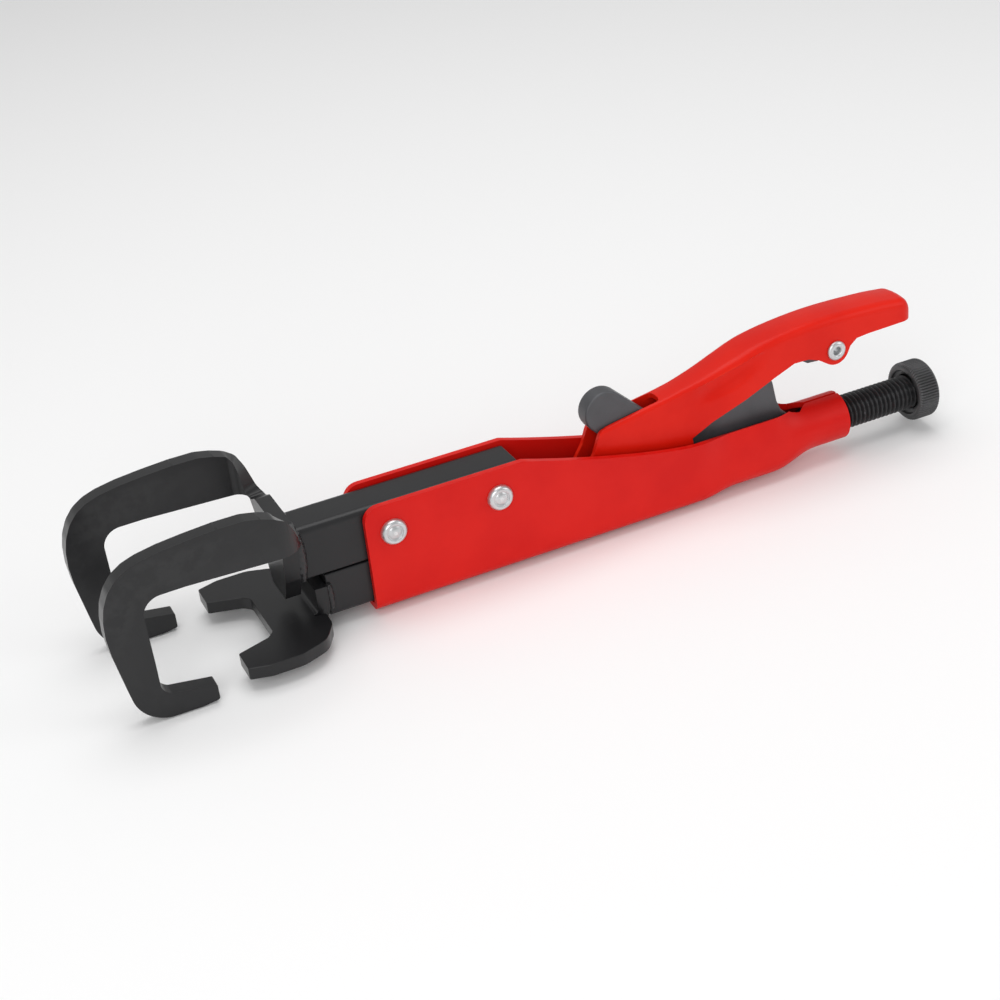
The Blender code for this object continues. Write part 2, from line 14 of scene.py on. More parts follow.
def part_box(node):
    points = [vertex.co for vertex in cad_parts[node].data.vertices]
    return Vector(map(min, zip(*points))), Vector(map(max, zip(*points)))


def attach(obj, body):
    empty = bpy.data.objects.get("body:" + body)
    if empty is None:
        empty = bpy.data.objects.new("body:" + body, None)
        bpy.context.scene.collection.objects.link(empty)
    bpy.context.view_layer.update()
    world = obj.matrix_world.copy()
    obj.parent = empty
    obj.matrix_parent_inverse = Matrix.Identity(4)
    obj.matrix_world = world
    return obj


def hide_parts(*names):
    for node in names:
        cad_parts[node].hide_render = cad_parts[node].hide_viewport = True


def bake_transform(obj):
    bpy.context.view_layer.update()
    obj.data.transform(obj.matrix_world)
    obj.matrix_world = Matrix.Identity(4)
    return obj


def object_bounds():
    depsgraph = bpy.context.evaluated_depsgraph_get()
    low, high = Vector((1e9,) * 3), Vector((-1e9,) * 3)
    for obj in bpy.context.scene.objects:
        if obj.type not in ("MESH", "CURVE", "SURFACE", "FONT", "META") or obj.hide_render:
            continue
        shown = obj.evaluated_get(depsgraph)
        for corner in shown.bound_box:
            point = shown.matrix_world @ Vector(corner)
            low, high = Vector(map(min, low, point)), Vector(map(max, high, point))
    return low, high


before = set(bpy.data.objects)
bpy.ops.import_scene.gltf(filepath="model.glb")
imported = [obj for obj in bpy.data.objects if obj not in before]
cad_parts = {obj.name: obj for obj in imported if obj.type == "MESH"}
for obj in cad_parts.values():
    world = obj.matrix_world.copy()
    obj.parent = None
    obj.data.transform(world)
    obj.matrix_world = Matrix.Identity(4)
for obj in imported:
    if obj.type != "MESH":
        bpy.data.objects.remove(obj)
cad_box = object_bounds()

MM = 0.001
BODY_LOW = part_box("body_channel")[0]
KNOB_LOW, KNOB_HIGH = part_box("screw_knob")
ORIGIN = Vector((BODY_LOW.x, 0.0, (KNOB_LOW.z + KNOB_HIGH.z) / 2))


def at(x, y, z):
    """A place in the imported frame, in metres, from a drawing's millimetres."""
    return ORIGIN + Vector((x, y, z)) * MM


def drawn_box(node):
    """A CAD node's lowest and highest corners in drawing millimetres."""
    low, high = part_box(node)
    return (low - ORIGIN) / MM, (high - ORIGIN) / MM


# Driving sizes, read from the frame where it holds them
BODY_FLOOR = drawn_box("body_channel")[0].z
BODY_TOP = drawn_box("body_channel")[1].z
BODY_END = drawn_box("body_channel")[1].x
BODY_HALF = drawn_box("body_channel")[1].y
BODY_SHEET = 2.0
BODY_BEND_R = 3.6
BODY_CORNER_R = 5.0
BODY_STRAIGHT_END = 54.0
BODY_SLOPE_END = 116.0
BODY_REAR_TOP = 10.8
NECK = (117.5, 131.0)
NECK_SHARE = 0.3
TUBE_FORMING = 146.0
TUBE_R = 8.4
TUBE_START = 164.0
SEAM_HALF_ANGLE = 3.0
BAR_LOW, BAR_HIGH = drawn_box("fixed_bar")
SLIDE_LOW, SLIDE_HIGH = drawn_box("slide_bar")
TONGUE_HALF = 3.1
TONGUE_FRONT = 69.0
HOOK_LOW, HOOK_HIGH = drawn_box("hook_bracket")
HOOK_SHEET = 5.0
HOOK_BEND_R = 6.5
WEB_BOTTOM = 1.5
THROAT_TOP = 28.4
HOOK_TIP = -56.9
# Distances along the flat plate from its middle
BEND_START = HOOK_HIGH.y - HOOK_SHEET / 2 - HOOK_BEND_R
ARM_START = BEND_START + HOOK_BEND_R * math.pi / 2
# The X of both bends' centres
BEND_X = HOOK_HIGH.x - HOOK_SHEET / 2 - HOOK_BEND_R
FORK_LOW, FORK_HIGH = drawn_box("fork_jaw")
FORK_TOP = -4.8
FORK_WALL_HALF = 9.2
HANDLE_HALF = drawn_box("handle_lever")[1].y
HANDLE_REAR = drawn_box("handle_lever")[1].x
HANDLE_SHEET = 1.6
HANDLE_END_ROUND = 4.0
HANDLE_FRONT_HALF = 5.0
HANDLE_TAPER = (114.0, 136.0)
WEB_START = 106.5
PIVOT_A = (80.0, 0.0)
PIVOT_B = (112.0, 0.5)
PIVOT_R = (171.2, 28.5)
PIN_R = 3.0
RIVET_SHANK_R = 2.6
HEAD_LIFT = 0.02
LINK_HALF = drawn_box("toggle_link")[1].y
KNOB_FRONT = drawn_box("screw_knob")[0].x
KNOB_REAR = drawn_box("screw_knob")[1].x
KNOB_R = drawn_box("screw_knob")[1].z
SCREW_TIP = drawn_box("adjusting_screw")[0].x
SCREW_R = drawn_box("adjusting_screw")[1].z
THREAD_PITCH = 1.75
THREAD_DEPTH = 0.95
KNURL_GROOVES = 64
KNURL_DEPTH = 0.42
GAP = 0.3
BEVEL_ANGLE = math.radians(35)
SHARP_ANGLE = math.radians(38)


# --- Materials ---


def add_node(tree, kind, **values):
    """Adds a shader node. Values name its inputs, with underscores for spaces."""
    made = tree.nodes.new(kind)
    for name, value in values.items():
        made.inputs[name.replace("_", " ")].default_value = value
    return made


def ramp(tree, source, stops):
    """A colour ramp on a value socket. Stops are (position, grey or colour)."""
    made = tree.nodes.new("ShaderNodeValToRGB")
    tree.links.new(source, made.inputs["Fac"])
    elements = made.color_ramp.elements
    while len(elements) < len(stops):
        elements.new(0.5)
    for element, (position, value) in zip(elements, stops):
        element.position = position
        colour = value if isinstance(value, tuple) else (value, value, value)
        element.color = (*colour, 1.0)
    return made.outputs["Color"]


def noise(tree, coordinates, scale, detail):
    """The value of a cloudy pattern. A larger scale makes it finer."""
    made = add_node(tree, "ShaderNodeTexNoise", Scale=scale, Detail=detail, Roughness=0.55)
    tree.links.new(coordinates, made.inputs["Vector"])
    return made.outputs["Fac"]


def colour_sockets(sockets):
    """Those sockets of a mix node that hold a colour."""
    return [socket for socket in sockets if socket.type == "RGBA"]


def surface(name, dark, light, worn, gloss, metallic, wear=(0.53, 0.62), grain=(1400.0, 0.12), waves=0.0,
            coat=0.0, shine=0.5):
    """Metal or paint with cloudy colour, uneven gloss, fine grain, slow waves and lighter worn edges.

    wear is the pointiness where edges start to be worn and where they are fully worn. grain is the
    fineness and strength of the small bumps, waves the strength of the large ones.
    """
    mat = bpy.data.materials.new(name)
    mat.use_nodes = True
    tree = mat.node_tree
    shader = tree.nodes["Principled BSDF"]
    shader.inputs["Metallic"].default_value = metallic
    shader.inputs["Specular IOR Level"].default_value = shine
    shader.inputs["Coat Weight"].default_value = coat
    shader.inputs["Coat Roughness"].default_value = 0.22
    coordinates = tree.nodes.new("ShaderNodeTexCoord").outputs["Object"]
    clouds = ramp(tree, noise(tree, coordinates, 45.0, 5.0), [(0.35, dark), (0.65, light)])
    pointiness = tree.nodes.new("ShaderNodeNewGeometry").outputs["Pointiness"]
    edges = ramp(tree, pointiness, [(wear[0], 0.0), (wear[1], 1.0)])
    chips = ramp(tree, noise(tree, coordinates, 260.0, 6.0), [(0.42, 0.0), (0.6, 1.0)])
    rubbed = tree.nodes.new("ShaderNodeMath")
    rubbed.operation = "MULTIPLY"
    tree.links.new(edges, rubbed.inputs[0])
    tree.links.new(chips, rubbed.inputs[1])
    mix = tree.nodes.new("ShaderNodeMix")
    mix.data_type = "RGBA"
    plain, rubbed_off = colour_sockets(mix.inputs)
    tree.links.new(clouds, plain)
    rubbed_off.default_value = (*worn, 1.0)
    tree.links.new(rubbed.outputs[0], mix.inputs["Factor"])
    tree.links.new(colour_sockets(mix.outputs)[0], shader.inputs["Base Color"])
    roughness = ramp(tree, noise(tree, coordinates, 120.0, 4.0), [(0.3, gloss - 0.03), (0.7, gloss + 0.04)])
    tree.links.new(roughness, shader.inputs["Roughness"])
    fine = add_node(tree, "ShaderNodeBump", Strength=grain[1], Distance=0.0001)
    tree.links.new(noise(tree, coordinates, grain[0], 2.0), fine.inputs["Height"])
    slow = add_node(tree, "ShaderNodeBump", Strength=waves, Distance=0.0006)
    tree.links.new(noise(tree, coordinates, 70.0, 2.0), slow.inputs["Height"])
    tree.links.new(fine.outputs["Normal"], slow.inputs["Normal"])
    tree.links.new(slow.outputs["Normal"], shader.inputs["Normal"])
    return mat


def body_paint():
    return surface("body_paint", dark=(0.6, 0.006, 0.004), light=(0.66, 0.01, 0.006),
                   worn=(0.7, 0.02, 0.012), gloss=0.38, metallic=0.0,
                   grain=(700.0, 0.06), waves=0.06, coat=0.03, shine=0.16)


def handle_paint():
    return surface("handle_paint", dark=(0.64, 0.008, 0.002), light=(0.71, 0.013, 0.004),
                   worn=(0.74, 0.025, 0.01), gloss=0.36, metallic=0.0,
                   grain=(700.0, 0.06), waves=0.06, coat=0.03, shine=0.16)


def jaw_black():
    return surface("jaw_black", dark=(0.009, 0.009, 0.01), light=(0.0115, 0.0115, 0.0125),
                   worn=(0.016, 0.016, 0.017), gloss=0.32, metallic=0.1,
                   wear=(0.53, 0.7), grain=(900.0, 0.06), waves=0.04, coat=0.12, shine=0.4)


def bar_black():
    return surface("bar_black", dark=(0.0095, 0.0095, 0.0105), light=(0.012, 0.012, 0.0135),
                   worn=(0.017, 0.017, 0.018), gloss=0.36, metallic=0.1,
                   wear=(0.53, 0.7), grain=(1100.0, 0.05), waves=0.02, coat=0.1, shine=0.4)


def weld_black():
    return surface("weld_black", dark=(0.011, 0.011, 0.012), light=(0.018, 0.018, 0.02),
                   worn=(0.05, 0.05, 0.053), gloss=0.33, metallic=0.25,
                   grain=(700.0, 0.12), waves=0.12, coat=0.2)


def phosphate_grey():
    return surface("phosphate_grey", dark=(0.062, 0.063, 0.068), light=(0.092, 0.093, 0.1),
                   worn=(0.22, 0.22, 0.23), gloss=0.46, metallic=0.35,
                   grain=(1700.0, 0.22))


def bright_zinc():
    return surface("bright_zinc", dark=(0.52, 0.53, 0.54), light=(0.68, 0.69, 0.7),
                   worn=(0.9, 0.9, 0.9), gloss=0.3, metallic=0.85,
                   grain=(1500.0, 0.12))


def pin_steel():
    return surface("pin_steel", dark=(0.3, 0.3, 0.31), light=(0.42, 0.42, 0.43),
                   worn=(0.6, 0.6, 0.6), gloss=0.32, metallic=0.95)


def spring_wire():
    return surface("spring_wire", dark=(0.16, 0.16, 0.17), light=(0.26, 0.26, 0.27),
                   worn=(0.4, 0.4, 0.4), gloss=0.3, metallic=0.95)


def screw_black():
    return surface("screw_black", dark=(0.02, 0.02, 0.021), light=(0.034, 0.034, 0.036),
                   worn=(0.15, 0.15, 0.16), gloss=0.34, metallic=0.5,
                   wear=(0.54, 0.7), grain=(1600.0, 0.12))


def knob_black():
    return surface("knob_black", dark=(0.052, 0.052, 0.053), light=(0.08, 0.08, 0.083),
                   worn=(0.18, 0.18, 0.19), gloss=0.38, metallic=0.5,
                   wear=(0.53, 0.66), grain=(1500.0, 0.16))


# --- Mesh helpers ---


def arc(centre, radius, start_deg, end_deg, steps):
    """Points on a circle, from one angle to another."""
    points = []
    for i in range(steps + 1):
        angle = math.radians(start_deg + (end_deg - start_deg) * i / steps)
        points.append((centre[0] + radius * math.cos(angle), centre[1] + radius * math.sin(angle)))
    return points


def rounded(corners, radius, steps=5):
    """An outline whose corners are rounded. A corner may carry its own radius as a third value."""
    longest_share = 0.48
    shortest = 0.02
    nearly_straight = 1.54
    points = []
    count = len(corners)
    for i, corner in enumerate(corners):
        here = Vector(corner[:2])
        before = Vector(corners[i - 1][:2]) - here
        after = Vector(corners[(i + 1) % count][:2]) - here
        wanted = corner[2] if len(corner) > 2 else radius
        half = before.angle(after) / 2
        longest = min(before.length * longest_share, after.length * longest_share)
        reach = min(wanted / math.tan(half), longest)
        if wanted == 0.0 or reach < shortest or half > nearly_straight:
            points.append(tuple(here))
            continue
        start = here + before.normalized() * reach
        end = here + after.normalized() * reach
        for k in range(steps + 1):
            t = k / steps
            points.append(tuple(start * (1 - t) ** 2 + here * 2 * t * (1 - t) + end * t**2))
    return points


def prism(outline, low, high, axis):
    """Extrudes a closed outline. The axis Y takes (x, z) points, Z takes (x, y) and X takes (y, z)."""
    place = {
        "Y": lambda a, b, c: (a, c, b),
        "Z": lambda a, b, c: (a, b, c),
        "X": lambda a, b, c: (c, a, b),
    }[axis]
    bm = bmesh.new()
    floor = [bm.verts.new(place(a, b, low)) for a, b in outline]
    roof = [bm.verts.new(place(a, b, high)) for a, b in outline]
    bm.faces.new(floor)
    bm.faces.new(list(reversed(roof)))
    for i in range(len(outline)):
        j = (i + 1) % len(outline)
        bm.faces.new((floor[i], roof[i], roof[j], floor[j]))
    bmesh.ops.recalc_face_normals(bm, faces=bm.faces)
    return bm


def skin(loops, capped=True):
    """Joins closed loops of equal length into a surface. A capped one has a face at each end."""
    bm = bmesh.new()
    rings = [[bm.verts.new(point) for point in loop] for loop in loops]
    for first, second in zip(rings, rings[1:]):
        for i in range(len(first)):
            j = (i + 1) % len(first)
            bm.faces.new((first[i], first[j], second[j], second[i]))
    if capped:
        bm.faces.new(list(reversed(rings[0])))
        bm.faces.new(rings[-1])
    bmesh.ops.recalc_face_normals(bm, faces=bm.faces)
    return bm


def turned(profile, steps, axis, centre, bump=None):
    """Revolves (distance along, radius) points about an axis through the centre. Radius 0 closes an end.

    bump gives the radius from the distance along, the drawn radius and the angle.
    """
    shape = bump or (lambda along, radius, angle: radius)
    turn = {
        "X": lambda along, r, a: (along, centre[1] + r * math.cos(a), centre[2] + r * math.sin(a)),
        "Y": lambda along, r, a: (centre[0] + r * math.cos(a), along, centre[2] + r * math.sin(a)),
    }[axis]
    bm = bmesh.new()
    rings = []
    for along, radius in profile:
        angles = [math.tau * i / steps for i in range(steps if radius else 1)]
        radii = [shape(along, radius, a) if radius else 0.0 for a in angles]
        rings.append([bm.verts.new(turn(along, r, a)) for r, a in zip(radii, angles)])
    closed = len(rings[0]) > 1 and len(rings[-1]) > 1
    for first, second in zip(rings, rings[1:] + (rings[:1] if closed else [])):
        for i in range(steps):
            j = (i + 1) % steps
            corners = [first[i % len(first)], first[j % len(first)]]
            corners += [second[j % len(second)], second[i % len(second)]]
            if len(set(corners)) > 2:
                bm.faces.new(list(dict.fromkeys(corners)))
    bmesh.ops.recalc_face_normals(bm, faces=bm.faces)
    return bm


def rod(points, radius, sides=12):
    """A round bar along a path. The radius is a number or a function of the share of the way along."""
    size = radius if callable(radius) else (lambda share: radius)
    path = [Vector(p) for p in points]
    side = Vector((0.0, 1.0, 0.0))
    loops = []
    for i, here in enumerate(path):
        ahead = (path[min(i + 1, len(path) - 1)] - path[max(i - 1, 0)]).normalized()
        side = side - ahead * side.dot(ahead)
        if side.length < 0.05:
            side = ahead.orthogonal()
        side.normalize()
        up = ahead.cross(side)
        reach = size(i / (len(path) - 1))
        loop = []
        for k in range(sides):
            angle = math.tau * k / sides
            loop.append(here + (side * math.cos(angle) + up * math.sin(angle)) * reach)
        loops.append(loop)
    return skin(loops)


def temporary(bm):
    """An object that holds a bmesh for a short time. The bmesh is used up."""
    mesh = bpy.data.meshes.new("temporary")
    bm.to_mesh(mesh)
    bm.free()
    obj = bpy.data.objects.new("temporary", mesh)
    bpy.context.scene.collection.objects.link(obj)
    return obj


def combine(bm, tool, operation="DIFFERENCE"):
    """The Boolean of two closed bmeshes, as a new bmesh. Both are used up."""
    base = temporary(bm)
    other = temporary(tool)
    modifier = base.modifiers.new("combine", "BOOLEAN")
    modifier.operation = operation
    modifier.solver = "EXACT"
    modifier.object = other
    graph = bpy.context.evaluated_depsgraph_get()
    result = bmesh.new()
    result.from_mesh(base.evaluated_get(graph).to_mesh())
    for obj in (base, other):
        mesh = obj.data
        bpy.data.objects.remove(obj, do_unlink=True)
        bpy.data.meshes.remove(mesh)
    same_place = 0.004
    no_length = 0.002
    bmesh.ops.remove_doubles(result, verts=result.verts, dist=same_place)
    bmesh.ops.dissolve_degenerate(result, edges=result.edges, dist=no_length)
    return result


def joined(*parts):
    """Several bmeshes in one."""
    result = bmesh.new()
    for bm in parts:
        mesh = bpy.data.meshes.new("part")
        bm.to_mesh(mesh)
        bm.free()
        result.from_mesh(mesh)
        bpy.data.meshes.remove(mesh)
    return result


def round_edges(bm, width, steps, sharper_than):
    """Bevels the edges between faces that meet at more than an angle in degrees."""
    limit = math.radians(sharper_than)
    edges = [e for e in bm.edges if len(e.link_faces) == 2 and e.calc_face_angle(0.0) > limit]
    bmesh.ops.bevel(bm, geom=edges, offset=width, segments=steps, profile=0.5, affect="EDGES",
                    clamp_overlap=True)


def piece(name, bm, mat, body, nodes, width=0.0, steps=3):
    """Turns a drawing into a piece on a body that stands for CAD nodes. A width rounds its sharp edges.

    A piece without a body is left unattached.
    """
    bmesh.ops.recalc_face_normals(bm, faces=bm.faces)
    for vert in bm.verts:
        vert.co *= MM
    mesh = bpy.data.meshes.new(name)
    bm.to_mesh(mesh)
    bm.free()
    mesh.materials.append(mat)
    mesh.shade_smooth()
    obj = bpy.data.objects.new(name, mesh)
    obj.location = ORIGIN
    bpy.context.scene.collection.objects.link(obj)
    if width:
        bevel = obj.modifiers.new("edges", "BEVEL")
        bevel.width = width * MM
        bevel.segments = steps
        bevel.limit_method = "ANGLE"
        bevel.angle_limit = BEVEL_ANGLE
    else:
        mesh.set_sharp_from_angle(angle=SHARP_ANGLE)
    weighted = obj.modifiers.new("shading", "WEIGHTED_NORMAL")
    weighted.keep_sharp = True
    if body:
        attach(obj, body)
    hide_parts(*nodes)
    return obj


# --- Body and fixed jaw ---


def smoothstep(low, high, x):
    """0 below low, 1 above high, with a smooth rise between them."""
    t = min(max((x - low) / (high - low), 0.0), 1.0)
    return t * t * (3.0 - 2.0 * t)


def body_top_at(x):
    """Height of the body wall's upper edge: level, then sloping down, then level again."""
    if x < BODY_CORNER_R:
        return BODY_TOP - BODY_CORNER_R + math.sqrt(BODY_CORNER_R**2 - (BODY_CORNER_R - x) ** 2)
    easing = 1.35
    t = min(max((x - BODY_STRAIGHT_END) / (BODY_SLOPE_END - BODY_STRAIGHT_END), 0.0), 1.0)
    return BODY_TOP - (BODY_TOP - BODY_REAR_TOP) * (1.0 - (1.0 - t) ** easing)


def body_section(x, inset):
    """Half section of the body at x, from a U in front to the tube's ring in the rear.

    The inset is 0 on the outer skin and the sheet's thickness inside.
    """
    half = BODY_HALF - inset
    floor = BODY_FLOOR + inset
    bend = BODY_BEND_R - inset * 0.8
    u = [(0.0, floor), ((half - bend) * 0.5, floor), (half - bend, floor)]
    u += arc((half - bend, floor + bend), bend, -90, 0, 8)[1:]
    top = body_top_at(x)
    wall_rows = 9
    u += [(half, floor + bend + (top - floor - bend) * k / wall_rows) for k in range(1, wall_rows + 1)]
    end = 90.0 - SEAM_HALF_ANGLE
    tube = arc((0.0, 0.0), TUBE_R - inset, -90.0, end, len(u) - 1)
    share = NECK_SHARE * smoothstep(*NECK, x)
    share += (1.0 - NECK_SHARE) * smoothstep(TUBE_FORMING, TUBE_START, x)
    return [(a[0] + (b[0] - a[0]) * share, a[1] + (b[1] - a[1]) * share) for a, b in zip(u, tube)]


def body_stations():
    """Places along the body where its section is drawn, closest together where its edge curves."""
    stations = [BODY_CORNER_R * (1.0 - math.cos(math.radians(a))) for a in range(0, 91, 10)]
    stations += [BODY_STRAIGHT_END * k / 8 for k in range(1, 9)]
    slope = BODY_SLOPE_END - BODY_STRAIGHT_END
    stations += [BODY_STRAIGHT_END + slope * k / 24 for k in range(1, 25)]
    stations += [BODY_SLOPE_END + (BODY_END - BODY_SLOPE_END) * k / 40 for k in range(1, 41)]
    return stations


def make_body():
    """Bent sheet channel, formed at the rear into the tube that carries the adjusting screw."""
    loops = []
    for x in body_stations():
        outer = body_section(x, 0.0)
        inner = body_section(x, BODY_SHEET)
        ring = outer[:0:-1] + [(-y, z) for y, z in outer]
        ring += [(-y, z) for y, z in inner[::-1]] + inner[1:]
        loops.append([(x, y, z) for y, z in ring])
    bm = skin(loops, capped=False)
    bm.verts.ensure_lookup_table()
    count = len(loops[0])
    # Each end is closed by a strip between the outer and the inner skin
    for start in (0, len(bm.verts) - count):
        loop = [bm.verts[start + i] for i in range(count)]
        for i in range(count // 2 - 1):
            bm.faces.new((loop[i], loop[i + 1], loop[-2 - i], loop[-1 - i]))
    bmesh.ops.recalc_face_normals(bm, faces=bm.faces)
    half = 3.8
    notch = [(140.0, -half), (158.8, -half, 1.0), (163.5, 0.0, 0.8), (158.8, half, 1.0), (140.0, half)]
    bm = combine(bm, prism(rounded(notch, 0.0), 2.0, 20.0, "Z"))
    piece("body_channel_skin", bm, body_paint(), "frame", ["body_channel"], 0.45, 3)


def make_fixed_bar():
    """Bar whose upper edges are rounder than its lower ones."""
    half = BAR_HIGH.y
    low = BAR_LOW.z
    top = BAR_HIGH.z
    corners = [(half, low, 0.8), (half, top, 2.6), (-half, top, 2.6), (-half, low, 0.8)]
    bm = prism(rounded(corners, 1.0, 6), BAR_LOW.x, BAR_HIGH.x, "X")
    piece("fixed_bar_steel", bm, bar_black(), "frame", ["fixed_bar"], 1.0, 4)


def hook_blank():
    """Half outline of the flat plate before it is bent, as (distance from its middle, height, radius)."""

    def along(x):
        return ARM_START + BEND_X - x

    def on_arm(points):
        return [(along(x), z, 0.0) for x, z in points]

    heel = 11.9
    outline = [(5.8, WEB_BOTTOM, 0.8), (9.4, 9.0, 3.0), (11.6, 21.5, 2.5), (16.4, THROAT_TOP - 1.4, 3.0)]
    outline += [(along(-60.0), THROAT_TOP, 8.0)] + on_arm(arc((-67.4, 22.3), 6.0, 92, 172, 10))
    outline += [(along(-73.1), 6.0, 4.0)] + on_arm(arc((-68.6, -0.6), 4.6, 190, 250, 8))
    outline += [(along(HOOK_TIP), -7.0, 0.7), (along(HOOK_TIP), -12.2, 0.9), (along(-61.9), HOOK_LOW.z, 6.0)]
    outline += on_arm(arc((-70.2, HOOK_LOW.z + heel), heel, 264, 190, 14))
    outline += [(along(-83.6), 7.0, 10.0), (along(-84.7), 13.6, 10.0)]
    corner = [(HOOK_LOW.x, 19.6), (-84.9, 24.8), (-83.9, 29.4), (-82.0, 33.5), (-79.2, 36.9)]
    corner += [(-75.6, 39.2), (-71.5, 40.6)]
    outline += [(along(x), z, 8.0) for x, z in corner]
    outline += [(along(-65.0), 41.8, 12.0), (along(-57.0), 42.6, 12.0), (along(-48.0), 43.2, 12.0)]
    outline += [(along(-40.0), 43.2, 8.0), (30.0, 42.2, 6.0), (ARM_START, 40.9, 4.0), (23.4, 38.6, 4.0)]
    outline += [(21.6, 34.6, 4.0), (19.4, 28.2, 4.0), (17.2, 26.6, 3.0), (14.4, 27.2, 4.0), (10.4, 29.4, 4.0)]
    return outline


def make_hook_bracket():
    """Double hook: a flat plate with rounded edges, bent at two places to a U in plan."""
    half = hook_blank()
    whole = half + [(-along, z, radius) for along, z, radius in reversed(half)]
    bm = prism(rounded(whole, 1.0, 8), -HOOK_SHEET / 2, HOOK_SHEET / 2, "Y")
    bend_steps = 10
    for side in (-1, 1):
        for k in range(bend_steps + 1):
            cut = side * (BEND_START + (ARM_START - BEND_START) * k / bend_steps)
            geometry = bm.verts[:] + bm.edges[:] + bm.faces[:]
            bmesh.ops.bisect_plane(bm, geom=geometry, plane_co=(cut, 0, 0), plane_no=(1, 0, 0), dist=0.001)
    round_edges(bm, 1.1, 4, 50.0)
    for vert in bm.verts:
        vert.co = bent(vert.co)
    piece("hook_bracket_steel", bm, jaw_black(), "frame", ["hook_bracket"])


def bent(point):
    """Where a point of the flat plate goes when the plate is bent. Y is its distance from the middle."""
    side = 1.0 if point.x >= 0.0 else -1.0
    along = abs(point.x)
    radius = HOOK_BEND_R + point.y
    if along <= BEND_START:
        return Vector((BEND_X + radius, side * along, point.z))
    if along >= ARM_START:
        return Vector((BEND_X - (along - ARM_START), side * (BEND_START + radius), point.z))
    angle = (along - BEND_START) / HOOK_BEND_R
    across = BEND_START + radius * math.sin(angle)
    return Vector((BEND_X + radius * math.cos(angle), side * across, point.z))


def ripples(radius, count):
    """A weld bead's radius along its length, with ripples and tapered ends."""
    depth = 0.03
    end_share = 0.35

    def at_share(share):
        wave = 1.0 + depth * math.sin(math.tau * count * share)
        swell = math.sin(math.pi * min(max(share, 0.03), 0.97)) ** 0.4
        return radius * wave * (end_share + (1.0 - end_share) * swell)

    return at_share


def straight(start, end, steps):
    """Evenly spaced points on a line."""
    a = Vector(start)
    b = Vector(end)
    return [a + (b - a) * k / steps for k in range(steps + 1)]


def make_bracket_welds():
    """Beads down the corners between the fixed bar and the bracket, and one across the top."""
    x = HOOK_HIGH.x + 0.7
    for side, name in ((-1, "bracket_weld_near"), (1, "bracket_weld_far")):
        y = side * (BAR_HIGH.y + 0.4)
        low = (x, y, BAR_LOW.z + 0.8)
        high = (x, y, BAR_HIGH.z - 0.5)
        bead = rod(straight(low, high, 70), ripples(2.6, 6), 20)
        top = rod(straight((x, side * 0.4, BAR_HIGH.z), (x, side * 7.0, BAR_HIGH.z), 40), ripples(1.5, 3), 20)
        piece(name + "_bead", joined(bead, top), weld_black(), "frame", [name])


def head_profile(radius, height, shank, half):
    """Riveted head: a ring round a shallow groove and a raised middle, on the end of a shank."""
    head = [(0.0, 1.0), (0.2, 1.0), (0.5, 0.97), (0.78, 0.89), (0.93, 0.8), (0.97, 0.7), (0.9, 0.62)]
    head += [(0.74, 0.58), (0.7, 0.52), (0.78, 0.46), (0.88, 0.38), (0.96, 0.22), (1.0, 0.08)]
    end = [(half, shank)] + [(half + height * up, radius * out) for up, out in head] + [(half + height, 0.0)]
    return [(-along, r) for along, r in reversed(end)] + end


def make_body_rivets():
    """Two bright rivets through the body's walls and the fixed bar."""
    for name in ("front_rivet", "rear_rivet"):
        low, high = drawn_box(name)
        centre = (low + high) / 2
        radius = (high.x - low.x) / 2
        half = BODY_HALF + HEAD_LIFT
        bm = turned(head_profile(radius, high.y - half, RIVET_SHANK_R, half), 64, "Y", centre)
        piece(name + "_zinc", bm, bright_zinc(), "frame", [name])


def make_spring_post():
    """Cross pin that holds the rear end of the return spring."""
    low, high = drawn_box("spring_post")
    centre = (low + high) / 2
    radius = 1.6
    edge = 0.4
    profile = [(low.y, 0.0), (low.y, radius - edge), (low.y + edge, radius)]
    profile += [(high.y - edge, radius), (high.y, radius - edge), (high.y, 0.0)]
    bm = turned(profile, 32, "Y", centre)
    piece("spring_post_pin", bm, pin_steel(), "frame", ["spring_post"])


# --- Slider ---


def make_slide_bar():
    """Bar with chamfered lower edges, whose rear end is a narrow tongue between the handle's walls."""
    half = SLIDE_HIGH.y
    top = SLIDE_HIGH.z
    floor = SLIDE_LOW.z
    corners = [(-half, top, 0.6), (-half, floor, 2.2), (half, floor, 2.2), (half, top, 0.6)]
    bm = prism(rounded(corners, 1.0, 5), SLIDE_LOW.x, SLIDE_HIGH.x, "X")
    past_rear = 95.0
    past_side = 12.0
    for side in (-1, 1):
        plan = [(TONGUE_FRONT, side * TONGUE_HALF), (past_rear, side * TONGUE_HALF)]
        plan += [(past_rear, side * past_side), (TONGUE_FRONT, side * past_side)]
        bm = combine(bm, prism(plan, -20.0, 20.0, "Z"))
    piece("slide_bar_steel", bm, bar_black(), "slider", ["slide_bar"], 0.4, 3)


def fork_plan():
    """Plan of the fork's flat part, with its two prongs and the relief beside the upturned wall."""
    tip = FORK_LOW.x
    wide = FORK_HIGH.y
    half = [(-34.4, 10.6, 2.5), (-36.6, 13.0, 2.0), (tip, 16.4, 0.8), (tip, 25.6, 0.9)]
    half += [(-40.5, wide, 6.0), (-30.5, wide, 9.0), (-21.5, 24.2, 9.0), (-17.0, 16.5, 6.0)]
    half += [(-16.8, 10.2, 0.8), (-20.6, 10.2, 0.8), (-20.6, 8.4, 0.0)]
    return half + [(c[0], -c[1], c[2]) for c in reversed(half)]


